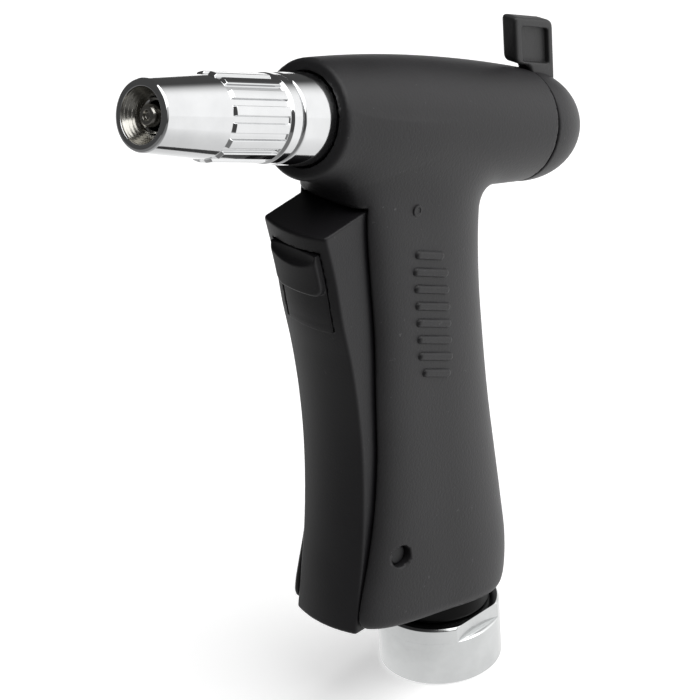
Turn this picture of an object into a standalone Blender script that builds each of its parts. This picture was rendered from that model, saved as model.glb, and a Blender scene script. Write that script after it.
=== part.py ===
"""Trigger-operated hose spray gun, modelled as the separate pieces that it comes apart into.

World Z is the axis of the hose inlet, and z = 0 is the inlet's lower end face. The nozzle
points to +X and is tilted up by BARREL_TILT. Every length in this file is in millimetres,
and MM turns it into metres where a mesh is made.
"""

import math

import bmesh
import bpy
from mathutils import Matrix, Vector

MM = 0.001
GAP = 0.3  # clearance that touching pieces keep
STEPS = 40  # sides of the large turned pieces
FINE_STEPS = 24  # sides of the small turned pieces
WELD = 0.00001  # metres

# Barrel: its axis runs through (0, 0, BARREL_HEIGHT). Places along it are called t.
BARREL_HEIGHT = 152.9
BARREL_TILT = math.radians(21.4)
BARREL_DIRECTION = Vector((math.cos(BARREL_TILT), 0.0, math.sin(BARREL_TILT)))
JACKET_FRONT = 38.0
JACKET_REAR = -39.5
JACKET_RADIUS = 16.0
CAP_RADIUS = 14.2
CAP_DEPTH = 18.8
CAP_WALL = 3.0
HOOK_HALF_WIDTH = 2.4
POCKET_DEPTH = 1.4
CORE_RADIUS = 11.0
CORE_BORE = 7.5
CORE_REAR = -36.0
COLLAR_FRONT = 48.3
SPIGOT_RADIUS = 7.2
SPIGOT_NECK_RADIUS = 6.2
SPIGOT_STEP = 58.0
SPIGOT_FRONT = 66.0
SPIGOT_BORE = 4.6

# Nozzle sleeve and the spray pin inside it
SLEEVE_REAR = COLLAR_FRONT + 0.35
SLEEVE_GRIP_FRONT = 70.4
SLEEVE_FRONT = 90.0
GRIP_RADIUS = 10.33
SLEEVE_TIP_RADIUS = 8.2
CUP_RADIUS = 6.35
THROAT_RADIUS = 3.4
GRIP_RIDGES = 16
GROOVE_DEPTH = 0.55
PIN_HEAD_RADIUS = 2.6
PIN_FRONT = 88.2

# Handle, as sections from bottom to top: height, slope, front x, rear x, half width
HANDLE_SECTIONS = (
    (21.3, 0.255, 38.9, -14.2, 14.2),
    (22.7, 0.255, 40.2, -16.8, 15.4),
    (26.5, 0.24, 40.4, -18.9, 15.7),
    (34.0, 0.16, 39.2, -20.1, 15.7),
    (45.0, 0.08, 36.7, -19.5, 15.3),
    (58.0, 0.0, 33.9, -18.2, 14.9),
    (75.0, 0.0, 31.0, -16.6, 14.6),
    (93.0, 0.0, 29.9, -15.6, 14.5),
    (110.0, 0.0, 28.9, -15.2, 14.5),
    (124.0, 0.1, 29.2, -16.0, 14.4),
    (137.0, 0.3, 29.6, -17.6, 14.0),
    (150.0, 0.39, 30.2, -20.0, 12.0),
)
HANDLE_WIDEST = 8.0  # x at which a section is widest
HANDLE_POINTS = 32
FRONT_SQUARENESS = 5.0
REAR_SQUARENESS = 2.4

# Inlet
SOCKET_RADIUS = 16.0
SOCKET_HEIGHT = 17.0
SOCKET_BORE = 13.2
SOCKET_DEPTH = 12.0
FLAT_DISTANCE = 14.0
FLAT_HEIGHT = 4.4
NECK_RADIUS = 13.5
NECK_TOP = 26.0
RISER_RADIUS = 5.5
RISER_BORE = 3.6
RISER_BOTTOM = 12.3

# Valve: a cylinder along X through the handle, worked by the trigger
VALVE_HEIGHT = 90.0
HOUSING_RADIUS = 8.7
HOUSING_BORE = 6.3
HOUSING_REAR = -12.0
HOUSING_FRONT = 12.0
SEAT_REAR = 3.5
SEAT_FRONT = 5.5
STEM_RADIUS = 2.0
STEM_TIP = 24.0
BOSS_BOTTOM = 76.0
OUTLET_FOOT = Vector((8.5, 0.0, 93.0))
OUTLET_DIRECTION = Vector((-0.2186, 0.0, 0.9758)).normalized()
OUTLET_RADIUS = 4.0
OUTLET_BORE = 2.5
OUTLET_REACH = 9.2  # from the barrel's axis to the outlet tube's upper end

# Trigger
PIVOT = Vector((26.6, 0.0, 48.4))
PIVOT_RADIUS = 2.5
PIVOT_BORE = 2.8
PIVOT_HALF_LENGTH = 14.0
TRIGGER_HALF_WIDTH = 10.3
TRIGGER_WALL = 2.0
TRIGGER_OUTER = (
    (40.6, 140.9), (38.3, 128.0), (37.1, 117.0), (35.2, 105.0), (34.0, 93.0), (33.6, 79.0),
    (34.3, 65.0), (36.0, 51.0), (38.1, 40.0), (39.7, 32.2), (38.6, 30.5), (36.0, 30.1),
    (29.5, 33.5), (22.9, 42.0), (20.9, 48.4), (22.0, 60.0), (23.2, 84.0), (24.4, 112.0), (25.3, 142.6),
)
TRIGGER_INNER = (
    (37.8, 138.6), (35.6, 128.0), (34.4, 117.0), (32.6, 105.0), (31.4, 93.0), (31.0, 79.0),
    (31.7, 65.0), (33.3, 51.0), (35.2, 41.0), (34.0, 36.0), (28.0, 28.0), (5.0, 28.0),
    (5.0, 138.6),
)

# Lock tongue in the trigger's front wall
TONGUE_HALF_WIDTH = 7.4
TONGUE_BOTTOM = 114.3
TONGUE_TOP = 135.8
TONGUE_HINGE = Vector((35.7, 0.0, 115.2))


# ---------------------------------------------------------------- scene and materials


def clear_scene():
    for obj in list(bpy.data.objects):
        bpy.data.objects.remove(obj, do_unlink=True)


def new_collection(name):
    collection = bpy.data.collections.new(name)
    bpy.context.scene.collection.children.link(collection)
    return collection


def new_material(name, colour, roughness, metallic=0.0):
    material = bpy.data.materials.new(name)
    material.use_nodes = True
    shader = material.node_tree.nodes["Principled BSDF"]
    shader.inputs["Base Color"].default_value = (*colour, 1.0)
    shader.inputs["Roughness"].default_value = roughness
    shader.inputs["Metallic"].default_value = metallic
    return material


clear_scene()
PARTS = new_collection("hose_spray_gun")
CUTTERS = new_collection("cutters")

RUBBER = new_material("black_rubber", (0.022, 0.022, 0.024), 0.62)
PLASTIC = new_material("black_plastic", (0.028, 0.028, 0.03), 0.45)
CHROME = new_material("chrome", (0.82, 0.82, 0.83), 0.08, 1.0)
BRASS = new_material("brass", (0.68, 0.5, 0.25), 0.3, 1.0)
STEEL = new_material("stainless_steel", (0.6, 0.6, 0.6), 0.25, 1.0)
SEAL = new_material("seal_rubber", (0.03, 0.03, 0.03), 0.7)


def empty_at(name, location, direction=None):
    """An empty on a joint's axis. Its local Z is the direction, if there is one."""
    empty = bpy.data.objects.new(name, None)
    empty.location = location * MM
    if direction is not None:
        empty.rotation_euler = (0.0, math.pi / 2 - BARREL_TILT, 0.0)
    PARTS.objects.link(empty)
    return empty


BARREL_AXIS = empty_at("barrel_axis", Vector((0.0, 0.0, BARREL_HEIGHT)), BARREL_DIRECTION)
TRIGGER_PIVOT = empty_at("trigger_pivot", PIVOT)
TONGUE_PIVOT = empty_at("tongue_pivot", TONGUE_HINGE)
VALVE_AXIS = empty_at("valve_axis", Vector((0.0, 0.0, VALVE_HEIGHT)))
bpy.context.view_layer.update()


def attach(obj, parent):
    """Parents the object and leaves it where it is in the world."""
    obj.parent = parent
    obj.matrix_parent_inverse = parent.matrix_world.inverted()
    return obj


# ---------------------------------------------------------------- shapes


def new_object(name, mesh, material=None):
    """A part when it has a material, otherwise a cutter or the half of a union."""
    obj = bpy.data.objects.new(name, mesh)
    if material is None:
        CUTTERS.objects.link(obj)
        obj.hide_render = True
        obj.display_type = "WIRE"
    else:
        PARTS.objects.link(obj)
        mesh.materials.append(material)
    return obj


def turned(name, profile, material=None, steps=STEPS, on_barrel=False):
    """A profile of (radius, height) points, turned about Z. It runs down its outer side, and is
    a closed ring where neither end is on the axis."""
    points = [(radius * MM, 0.0, height * MM) for radius, height in profile]
    edges = [(i, i + 1) for i in range(len(points) - 1)]
    if profile[0][0] > 0.0 and profile[-1][0] > 0.0:
        edges.append((len(points) - 1, 0))
    mesh = bpy.data.meshes.new(name)
    mesh.from_pydata(points, edges, [])
    obj = new_object(name, mesh, material)
    screw = obj.modifiers.new("turn", "SCREW")
    screw.steps = screw.render_steps = steps
    screw.use_merge_vertices = True
    screw.merge_threshold = WELD
    screw.use_smooth_shade = True
    if on_barrel:
        obj.location = BARREL_AXIS.location
        obj.rotation_euler = BARREL_AXIS.rotation_euler
    return obj


def ring(name, inner, outer, bottom, top, material=None, steps=FINE_STEPS):
    profile = ((outer, top), (outer, bottom), (inner, bottom), (inner, top))
    return turned(name, profile, material, steps)


def rod(name, start, end, radius, material=None, sides=FINE_STEPS):
    """A cylinder between two points."""
    axis = (end - start) * MM
    mesh = bpy.data.meshes.new(name)
    bm = bmesh.new()
    bmesh.ops.create_cone(
        bm, cap_ends=True, segments=sides, radius1=radius * MM, radius2=radius * MM, depth=axis.length
    )
    bm.to_mesh(mesh)
    bm.free()
    mesh.shade_smooth()
    mesh.set_sharp_from_angle(angle=math.radians(40.0))
    obj = new_object(name, mesh, material)
    obj.location = (start + end) * 0.5 * MM
    obj.rotation_mode = "QUATERNION"
    obj.rotation_quaternion = axis.to_track_quat("Z", "Y")
    return obj


def box(name, low, high, material=None):
    low, high = Vector(low), Vector(high)
    mesh = bpy.data.meshes.new(name)
    bm = bmesh.new()
    bmesh.ops.create_cube(bm, size=1.0)
    scale = Matrix.Diagonal((high - low) * MM).to_4x4()
    bmesh.ops.transform(bm, matrix=Matrix.Translation((low + high) * 0.5 * MM) @ scale, verts=bm.verts)
    bm.to_mesh(mesh)
    bm.free()
    return new_object(name, mesh, material)


def torus(name, major, minor, centre, rotation, material):
    bpy.ops.mesh.primitive_torus_add(
        major_segments=FINE_STEPS, minor_segments=8, major_radius=major * MM, minor_radius=minor * MM,
        location=centre * MM, rotation=rotation,
    )
    obj = bpy.context.active_object
    obj.name = name
    obj.data.shade_smooth()
    obj.data.materials.append(material)
    for collection in list(obj.users_collection):
        collection.objects.unlink(obj)
    PARTS.objects.link(obj)
    return obj


def curve_to_mesh(curve_object, name, material):
    """A mesh object with the curve's evaluated shape, its caps welded on."""
    graph = bpy.context.evaluated_depsgraph_get()
    mesh = bpy.data.meshes.new_from_object(curve_object.evaluated_get(graph))
    bm = bmesh.new()
    bm.from_mesh(mesh)
    bmesh.ops.remove_doubles(bm, verts=bm.verts, dist=WELD)
    bm.to_mesh(mesh)
    bm.free()
    obj = new_object(name, mesh, material)
    obj.matrix_world = curve_object.matrix_world
    bpy.data.objects.remove(curve_object)
    return obj


def plate(name, outline, half_width, material=None):
    """A flat outline of (x, z) points, with thickness along Y on both sides of the XZ plane."""
    curve = bpy.data.curves.new(name + "_outline", "CURVE")
    curve.dimensions = "2D"
    curve.fill_mode = "BOTH"
    curve.extrude = half_width * MM
    spline = curve.splines.new("POLY")
    spline.points.add(len(outline) - 1)
    for point, (x, z) in zip(spline.points, outline):
        point.co = (x * MM, z * MM, 0.0, 1.0)
    spline.use_cyclic_u = True
    curve_object = bpy.data.objects.new(name + "_outline", curve)
    curve_object.rotation_euler = (math.pi / 2, 0.0, 0.0)
    PARTS.objects.link(curve_object)
    bpy.context.view_layer.update()
    return curve_to_mesh(curve_object, name, material)


def rounded(outline, radius, steps=3):
    """The outline with each corner turned into an arc that leaves its sides at most radius back."""
    corners = [Vector(point) for point in outline]
    result = []
    for i, corner in enumerate(corners):
        before = corners[i - 1] - corner
        after = corners[(i + 1) % len(corners)] - corner
        start = corner + before.normalized() * min(radius, before.length * 0.45)
        end = corner + after.normalized() * min(radius, after.length * 0.45)
        for step in range(steps + 1):
            k = step / steps
            result.append((1 - k) ** 2 * start + 2 * k * (1 - k) * corner + k * k * end)
    return result


def join(obj, other, operation="UNION"):
    modifier = obj.modifiers.new(other.name, "BOOLEAN")
    modifier.operation = operation
    modifier.object = other
    modifier.solver = "EXACT"


def cut(obj, *cutters):
    for cutter in cutters:
        join(obj, cutter, "DIFFERENCE")


def on_barrel(t, down=0.0):
    """A point at t along the barrel's axis, moved down square to it."""
    square = Vector((math.sin(BARREL_TILT), 0.0, -math.cos(BARREL_TILT)))
    return Vector((0.0, 0.0, BARREL_HEIGHT)) + BARREL_DIRECTION * t + square * down


def arc(radius_out, radius_along, start_t, steps, inner=False):
    """A quarter ellipse from (radius_out, start_t) down to the axis, or back up it."""
    points = []
    for step in range(steps + 1):
        angle = math.pi / 2 * step / steps
        points.append((radius_out * math.cos(angle), start_t - radius_along * math.sin(angle)))
    points[-1] = (0.0, start_t - radius_along)
    return points[::-1] if inner else points


# ---------------------------------------------------------------- jacket, cap and hook


def handle_loft(name):
    """The handle's outer shape: rounded sections, each squarer in front than behind."""
    bm = bmesh.new()
    rings = []
    for height, slope, front, rear, half_width in HANDLE_SECTIONS:
        loop = []
        for i in range(HANDLE_POINTS):
            angle = 2 * math.pi * i / HANDLE_POINTS
            c, s = math.cos(angle), math.sin(angle)
            power = 2.0 / (FRONT_SQUARENESS if c > 0 else REAR_SQUARENESS)
            reach = (front if c > 0 else -rear) - (HANDLE_WIDEST if c > 0 else -HANDLE_WIDEST)
            x = HANDLE_WIDEST + math.copysign(reach * abs(c) ** power, c)
            y = math.copysign(half_width * abs(s) ** power, s)
            loop.append(bm.verts.new((x * MM, y * MM, (height + slope * x) * MM)))
        rings.append(loop)
    for lower, upper in zip(rings, rings[1:]):
        for i in range(HANDLE_POINTS):
            j = (i + 1) % HANDLE_POINTS
            bm.faces.new((lower[i], lower[j], upper[j], upper[i]))
    bm.faces.new(rings[0][::-1])
    bm.faces.new(rings[-1])
    mesh = bpy.data.meshes.new(name)
    bm.to_mesh(mesh)
    bm.free()
    return new_object(name, mesh)


def trigger_cavity(name):
    outline = (
        (60.0, 143.4), (11.0, 143.4), (11.0, 113.0), (15.2, 112.0), (17.8, 90.0), (19.6, 66.0),
        (20.1, 48.4), (22.0, 41.2), (28.4, 30.0), (31.0, 20.0), (60.0, 20.0),
    )
    return plate(name, outline, TRIGGER_HALF_WIDTH + GAP)


def hook_outline(grow=0.0):
    """The hanging hook's side view, with the foot that goes into the cap."""
    flag = ((-36.0, 168.2), (-49.7, 162.6), (-49.7, 145.8), (-45.4, 144.6), (-41.9, 146.4))
    notch = ((-41.0, 153.4), (-36.0, 155.7))
    if not grow:
        return rounded(flag + notch, 1.8)
    return (
        (-35.5 + grow, 169.0), (-49.7 - grow, 169.0), (-49.7 - grow, 145.6), (-45.4, 144.2),
        (-41.9 + grow, 146.2), (-41.0 + grow, 153.4),
    )


def build_jacket():
    profile = (
        (0.0, JACKET_FRONT), (13.0, JACKET_FRONT), (13.9, JACKET_FRONT - 1.0), (14.9, 30.0),
        (15.8, 15.0), (JACKET_RADIUS, 0.0), (15.6, -15.0), (14.9, -28.0),
        (CAP_RADIUS, JACKET_REAR), (0.0, JACKET_REAR),
    )
    jacket = turned("rubber_jacket", profile, RUBBER, STEPS, on_barrel=True)
    join(jacket, handle_loft("handle_form"))
    up = Vector((0.0, 0.0, 1.0))
    valve = Vector((0.0, 0.0, VALVE_HEIGHT))
    along = Vector((1.0, 0.0, 0.0))
    top_of_boss = OUTLET_FOOT + OUTLET_DIRECTION * 16.0
    side = Vector((0.0, 20.0, 0.0))
    cut(
        jacket,
        rod("core_space", on_barrel(-60.0), on_barrel(60.0), CORE_RADIUS + GAP, sides=STEPS),
        trigger_cavity("trigger_space"),
        rod("neck_space", up * 5.0, up * (NECK_TOP + GAP), NECK_RADIUS + GAP),
        rod("riser_space", up * 6.0, up * 80.0, RISER_RADIUS + GAP),
        rod("lower_boss_space", up * (BOSS_BOTTOM - GAP), valve, 8.0 + GAP),
        rod("housing_space", valve + along * (HOUSING_REAR - GAP), valve + along * (HOUSING_FRONT + GAP),
            HOUSING_RADIUS + GAP),
        rod("nose_space", valve, valve + along * 30.0, 5.6 + GAP),
        rod("upper_boss_space", OUTLET_FOOT, top_of_boss + OUTLET_DIRECTION * GAP, 5.4 + GAP),
        rod("outlet_space", OUTLET_FOOT, OUTLET_FOOT + OUTLET_DIRECTION * 58.0, OUTLET_RADIUS + GAP),
        rod("pivot_space", PIVOT - side, PIVOT + side, PIVOT_RADIUS + 0.5),
        plate("hook_slot", hook_outline(GAP), HOOK_HALF_WIDTH + GAP),
    )
    return jacket


def build_cap_and_hook():
    start = JACKET_REAR - GAP
    inner = arc(CAP_RADIUS - CAP_WALL, CAP_DEPTH - CAP_WALL, start, 4, inner=True)
    outer = arc(CAP_RADIUS, CAP_DEPTH, start, 7)
    cap = turned("rear_cap", inner + outer, RUBBER, STEPS, on_barrel=True)
    cut(cap, plate("hook_slot_in_cap", hook_outline(GAP), HOOK_HALF_WIDTH + GAP))
    hook = plate("hanging_hook", hook_outline(), HOOK_HALF_WIDTH, RUBBER)
    flag = ((-38.2, 165.0), (-47.8, 161.1), (-47.8, 151.6), (-38.2, 155.6))
    for name, near in (("hook_pocket_left", 1.0), ("hook_pocket_right", -1.0)):
        pocket = plate(name, rounded(flag, 0.8), POCKET_DEPTH)
        pocket.location.y += near * HOOK_HALF_WIDTH * MM
        cut(hook, pocket)


# ---------------------------------------------------------------- barrel metalwork


def build_core():
    profile = (
        (SPIGOT_BORE, SPIGOT_FRONT), (SPIGOT_NECK_RADIUS, SPIGOT_FRONT),
        (SPIGOT_NECK_RADIUS, SPIGOT_STEP), (SPIGOT_RADIUS, SPIGOT_STEP),
        (SPIGOT_RADIUS, COLLAR_FRONT), (10.2, COLLAR_FRONT), (10.6, COLLAR_FRONT - 0.4),
        (CORE_RADIUS, 39.0), (CORE_RADIUS, CORE_REAR), (CORE_BORE, CORE_REAR),
        (CORE_BORE, 30.0), (SPIGOT_BORE, 34.0),
    )
    core = turned("barrel_core", profile, CHROME, STEPS, on_barrel=True)
    foot = OUTLET_FOOT
    seat = outlet_end() + OUTLET_DIRECTION * GAP
    cut(
        core,
        rod("outlet_counterbore", foot, seat, OUTLET_RADIUS + GAP),
        rod("outlet_port", foot, seat + OUTLET_DIRECTION * 6.0, OUTLET_BORE),
    )


def build_rear_plug():
    """Screws into the core's open rear end, and seals there with an O-ring in its groove."""
    r = CORE_BORE - GAP
    profile = (
        (0.0, CORE_REAR + 12.0), (r, CORE_REAR + 12.0), (r, CORE_REAR + 10.2), (r - 1.7, CORE_REAR + 10.2),
        (r - 1.7, CORE_REAR + 7.6), (r, CORE_REAR + 7.6), (r, CORE_REAR - GAP), (10.5, CORE_REAR - GAP),
        (10.5, CORE_REAR - 3.4), (3.0, CORE_REAR - 3.4), (3.0, CORE_REAR + 1.0), (0.0, CORE_REAR + 1.0),
    )
    turned("rear_plug", profile, BRASS, FINE_STEPS, on_barrel=True)
    centre = on_barrel(CORE_REAR + 8.9)
    torus("plug_oring", r - 0.65, 0.7, centre, BARREL_AXIS.rotation_euler, SEAL)


def build_spray_pin():
    """The fixed pin in the spray: a drilled disc in the spigot's bore, and a headed needle."""
    hub = SPIGOT_BORE - GAP
    profile = (
        (0.0, PIN_FRONT - 0.8), (1.1, PIN_FRONT - 0.6), (1.3, PIN_FRONT), (2.1, PIN_FRONT),
        (PIN_HEAD_RADIUS, PIN_FRONT - 0.6), (PIN_HEAD_RADIUS, 83.6), (1.6, 81.6), (1.6, 61.5),
        (hub, 61.5), (hub, 57.5), (0.0, 57.5),
    )
    pin = turned("spray_pin", profile, CHROME, FINE_STEPS, on_barrel=True)
    holes = 3
    for i in range(holes):
        angle = 2 * math.pi * i / holes
        offset = Vector((math.sin(BARREL_TILT) * math.cos(angle), math.sin(angle),
                         -math.cos(BARREL_TILT) * math.cos(angle))) * 2.95
        hole = rod(f"spray_hole_{i}", on_barrel(50.0) + offset, on_barrel(64.0) + offset, 0.95, sides=12)
        cut(pin, hole)


def build_sleeve():
    """The turning sleeve: fluted grip, taper, cup at the front, stepped bore with an O-ring groove."""
    profile = (
        (THROAT_RADIUS + 0.5, 85.6), (CUP_RADIUS, SLEEVE_FRONT - 0.4), (CUP_RADIUS + 0.2, SLEEVE_FRONT),
        (SLEEVE_TIP_RADIUS - 0.3, SLEEVE_FRONT), (SLEEVE_TIP_RADIUS, SLEEVE_FRONT - 0.4),
        (9.7, SLEEVE_GRIP_FRONT + 0.4), (GRIP_RADIUS, SLEEVE_GRIP_FRONT),
        (GRIP_RADIUS, SLEEVE_REAR), (SPIGOT_RADIUS + GAP, SLEEVE_REAR),
        (SPIGOT_RADIUS + GAP, SPIGOT_STEP + GAP), (SPIGOT_NECK_RADIUS + GAP, SPIGOT_STEP + GAP),
        (SPIGOT_NECK_RADIUS + GAP, 60.0), (8.6, 60.0), (8.6, 62.4), (SPIGOT_NECK_RADIUS + GAP, 62.4),
        (SPIGOT_NECK_RADIUS + GAP, 69.0), (THROAT_RADIUS, 82.0), (THROAT_RADIUS, 85.2),
    )
    sleeve = attach(turned("nozzle_sleeve", profile, CHROME, STEPS, on_barrel=True), BARREL_AXIS)
    for i in range(GRIP_RIDGES):
        low = (GRIP_RADIUS - GROOVE_DEPTH, -0.85, 51.6)
        groove = box(f"grip_groove_{i}", low, (GRIP_RADIUS + 2.0, 0.85, SLEEVE_GRIP_FRONT + 2.0))
        turn = Matrix.Rotation(2 * math.pi * (i + 0.5) / GRIP_RIDGES, 4, "Z")
        groove.matrix_world = BARREL_AXIS.matrix_world @ turn
        cut(sleeve, groove)
    major = SPIGOT_NECK_RADIUS + GAP + 0.9
    oring = torus("sleeve_oring", major, 0.9, on_barrel(61.2), BARREL_AXIS.rotation_euler, SEAL)
    attach(oring, BARREL_AXIS)


# ---------------------------------------------------------------- inlet


def build_inlet():
    floor = SOCKET_DEPTH
    profile = (
        (RISER_RADIUS + GAP, SOCKET_HEIGHT), (SOCKET_RADIUS - 0.6, SOCKET_HEIGHT),
        (SOCKET_RADIUS, SOCKET_HEIGHT - 0.6), (SOCKET_RADIUS, 0.5), (SOCKET_RADIUS - 0.5, 0.0),
        (SOCKET_BORE + 0.6, 0.0), (SOCKET_BORE, 0.6), (SOCKET_BORE, floor), (RISER_RADIUS + GAP, floor),
    )
    socket = turned("hose_socket", profile, CHROME, STEPS)
    for name, near in (("wrench_flat_left", 1.0), ("wrench_flat_right", -1.0)):
        low = (-20.0, near * FLAT_DISTANCE, SOCKET_HEIGHT - FLAT_HEIGHT)
        high = (20.0, near * 25.0, 30.0)
        ordered = sorted((low[1], high[1]))
        cut(socket, box(name, (low[0], ordered[0], low[2]), (high[0], ordered[1], high[2])))
    ring("neck_ring", RISER_RADIUS + GAP, NECK_RADIUS, SOCKET_HEIGHT + GAP, NECK_TOP, PLASTIC)
    ring("riser_tube", RISER_BORE, RISER_RADIUS, RISER_BOTTOM, 84.0, STEEL)
    ring("inlet_washer", 8.6, SOCKET_BORE - GAP, floor - 2.6, floor - GAP, SEAL)
    strainer = (
        (0.0, 5.2), (5.2, 5.9), (5.9, 8.8), (8.2, 8.8), (8.2, 9.8), (5.1, 9.8), (4.5, 6.7), (0.0, 6.2),
    )
    strainer = turned("inlet_strainer", strainer[::-1], STEEL, FINE_STEPS)
    holes = 6
    for i in range(holes):
        angle = 2 * math.pi * i / holes
        place = Vector((math.cos(angle), math.sin(angle), 0.0)) * 2.9
        cut(strainer, rod(f"strainer_hole_{i}", place + Vector((0.0, 0.0, 3.0)),
                          place + Vector((0.0, 0.0, 8.0)), 0.9, sides=10))


# ---------------------------------------------------------------- valve


def along_x(profile, name, material, steps=FINE_STEPS):
    """A turned piece on the valve's axis. Profile heights are x places."""
    obj = turned(name, profile, material, steps)
    obj.location = (0.0, 0.0, VALVE_HEIGHT * MM)
    obj.rotation_euler = (0.0, math.pi / 2, 0.0)
    return obj


def outlet_end():
    """Where the outlet tube's axis is OUTLET_REACH short of the barrel's axis."""
    square = Vector((math.sin(BARREL_TILT), 0.0, -math.cos(BARREL_TILT)))
    height = (OUTLET_FOOT - on_barrel(0.0)).dot(square)
    step = -OUTLET_DIRECTION.dot(square)
    return OUTLET_FOOT + OUTLET_DIRECTION * ((height - OUTLET_REACH) / step)


def build_valve_housing():
    body = (
        (4.5, 15.0), (5.6, 15.0), (5.6, HOUSING_FRONT), (HOUSING_RADIUS, HOUSING_FRONT),
        (HOUSING_RADIUS, HOUSING_REAR), (HOUSING_BORE, HOUSING_REAR), (HOUSING_BORE, 10.0), (2.6, 10.0),
        (2.6, 11.2), (4.5, 11.2),
    )
    housing = along_x(body, "valve_housing", BRASS)
    centre = Vector((0.0, 0.0, VALVE_HEIGHT))
    up = Vector((0.0, 0.0, 1.0))
    lower = rod("lower_boss", up * BOSS_BOTTOM, up * (VALVE_HEIGHT - 7.0), 8.0)
    upper = rod("upper_boss", OUTLET_FOOT + OUTLET_DIRECTION * 4.0, OUTLET_FOOT + OUTLET_DIRECTION * 16.0, 5.4)
    join(housing, lower)
    join(housing, upper)
    cut(
        housing,
        rod("riser_counterbore", up * 70.0, up * (84.0 + GAP), RISER_RADIUS + GAP),
        rod("inlet_port", up * 70.0, centre, RISER_BORE),
        rod("tube_counterbore", OUTLET_FOOT + OUTLET_DIRECTION * 9.0,
            OUTLET_FOOT + OUTLET_DIRECTION * 20.0, OUTLET_RADIUS + GAP),
        rod("front_port", OUTLET_FOOT, OUTLET_FOOT + OUTLET_DIRECTION * 20.0, OUTLET_BORE),
        rod("valve_bore", centre + Vector((HOUSING_REAR - 2.0, 0.0, 0.0)),
            centre + Vector((10.0, 0.0, 0.0)), HOUSING_BORE),
    )


def build_outlet_tube():
    start = OUTLET_FOOT + OUTLET_DIRECTION * (9.0 + GAP)
    tube = rod("outlet_tube", start, outlet_end(), OUTLET_RADIUS, STEEL)
    cut(tube, rod("outlet_tube_bore", start - OUTLET_DIRECTION * 2.0,
                  outlet_end() + OUTLET_DIRECTION * 2.0, OUTLET_BORE))


def build_valve_insides():
    plug = (
        (0.0, HOUSING_REAR + 1.2), (5.0, HOUSING_REAR + 1.2), (5.0, HOUSING_REAR + 3.2),
        (HOUSING_BORE - GAP, HOUSING_REAR + 3.2), (HOUSING_BORE - GAP, HOUSING_REAR), (0.0, HOUSING_REAR),
    )
    along_x(plug, "valve_plug", BRASS)
    seat = (
        (3.2, SEAT_FRONT), (HOUSING_BORE - GAP, SEAT_FRONT), (HOUSING_BORE - GAP, SEAT_REAR),
        (3.6, SEAT_REAR), (3.2, SEAT_REAR + 0.4),
    )
    along_x(seat, "valve_seat", BRASS)
    gland = ((2.3, 18.4), (3.6, 18.4), (3.6, 15.3), (4.2, 15.3), (4.2, 13.1), (2.3, 13.1))
    along_x(gland, "stem_gland", BRASS)
    centre = Vector((12.1, 0.0, VALVE_HEIGHT))
    torus("gland_oring", 3.15, 0.7, centre, (0.0, math.pi / 2, 0.0), SEAL)


def build_moving_valve():
    tip = [(STEM_RADIUS * math.sin(a), STEM_TIP - STEM_RADIUS * (1.0 - math.cos(a)))
           for a in (math.pi / 2 * i / 3 for i in range(4))]
    stem = tip + [(STEM_RADIUS, SEAT_REAR), (1.5, SEAT_REAR), (1.5, -2.0), (0.0, -2.0)]
    attach(along_x(stem, "valve_stem", STEEL, steps=16), VALVE_AXIS)
    disc = ((1.8, 3.2), (4.6, 3.2), (5.2, 2.6), (5.2, 0.7), (1.8, 0.7))
    attach(along_x(disc, "valve_disc", SEAL), VALVE_AXIS)
    nut = ((1.8, 0.4), (2.9, 0.4), (2.9, -1.6), (1.8, -1.6))
    attach(along_x(nut, "disc_nut", STEEL, steps=6), VALVE_AXIS)


def build_spring():
    """A coil with closed ends, between the valve plug and the disc."""
    wire, coil, turns, points = 0.4, 4.2, 4.5, 55
    start, end = HOUSING_REAR + 1.2 + GAP + wire, 0.7 - GAP - wire
    curve = bpy.data.curves.new("valve_spring_path", "CURVE")
    curve.dimensions = "3D"
    curve.bevel_depth = wire * MM
    curve.bevel_resolution = 1
    curve.use_fill_caps = True
    spline = curve.splines.new("POLY")
    spline.points.add(points - 1)
    for i, point in enumerate(spline.points):
        k = i / (points - 1)
        angle = 2 * math.pi * turns * k
        x = start + (end - start) * k
        place = Vector((x, coil * math.cos(angle), VALVE_HEIGHT + coil * math.sin(angle))) * MM
        point.co = (*place, 1.0)
    path = bpy.data.objects.new("valve_spring_path", curve)
    PARTS.objects.link(path)
    bpy.context.view_layer.update()
    curve_to_mesh(path, "valve_spring", STEEL)


# ---------------------------------------------------------------- trigger


def build_trigger():
    """A hollow lever, open behind: front wall, two side flanges, top and the pivot's tube."""
    trigger = plate("trigger_lever", TRIGGER_OUTER, TRIGGER_HALF_WIDTH, PLASTIC)
    hollow = plate("trigger_hollow", TRIGGER_INNER, TRIGGER_HALF_WIDTH - TRIGGER_WALL)
    side = Vector((0.0, 1.0, 0.0))
    boss = rod("pivot_tube", PIVOT - side * 9.0, PIVOT + side * 9.0, 5.2)
    cut(trigger, hollow)
    join(trigger, boss)
    window = box("tongue_window", (30.0, -TONGUE_HALF_WIDTH - GAP, TONGUE_BOTTOM - GAP),
                 (45.0, TONGUE_HALF_WIDTH + GAP, TONGUE_TOP + 0.5))
    cut(trigger, window, rod("pivot_bore", PIVOT - side * 20.0, PIVOT + side * 20.0, PIVOT_BORE))
    attach(trigger, TRIGGER_PIVOT)
    side_reach = Vector((0.0, PIVOT_HALF_LENGTH, 0.0))
    rod("pivot_pin", PIVOT - side_reach, PIVOT + side_reach, PIVOT_RADIUS, STEEL)
    pad = box("push_pad", (24.3, -4.5, 84.5), (31.0 - 0.1, 4.5, 95.5), STEEL)
    attach(pad, TRIGGER_PIVOT)


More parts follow.
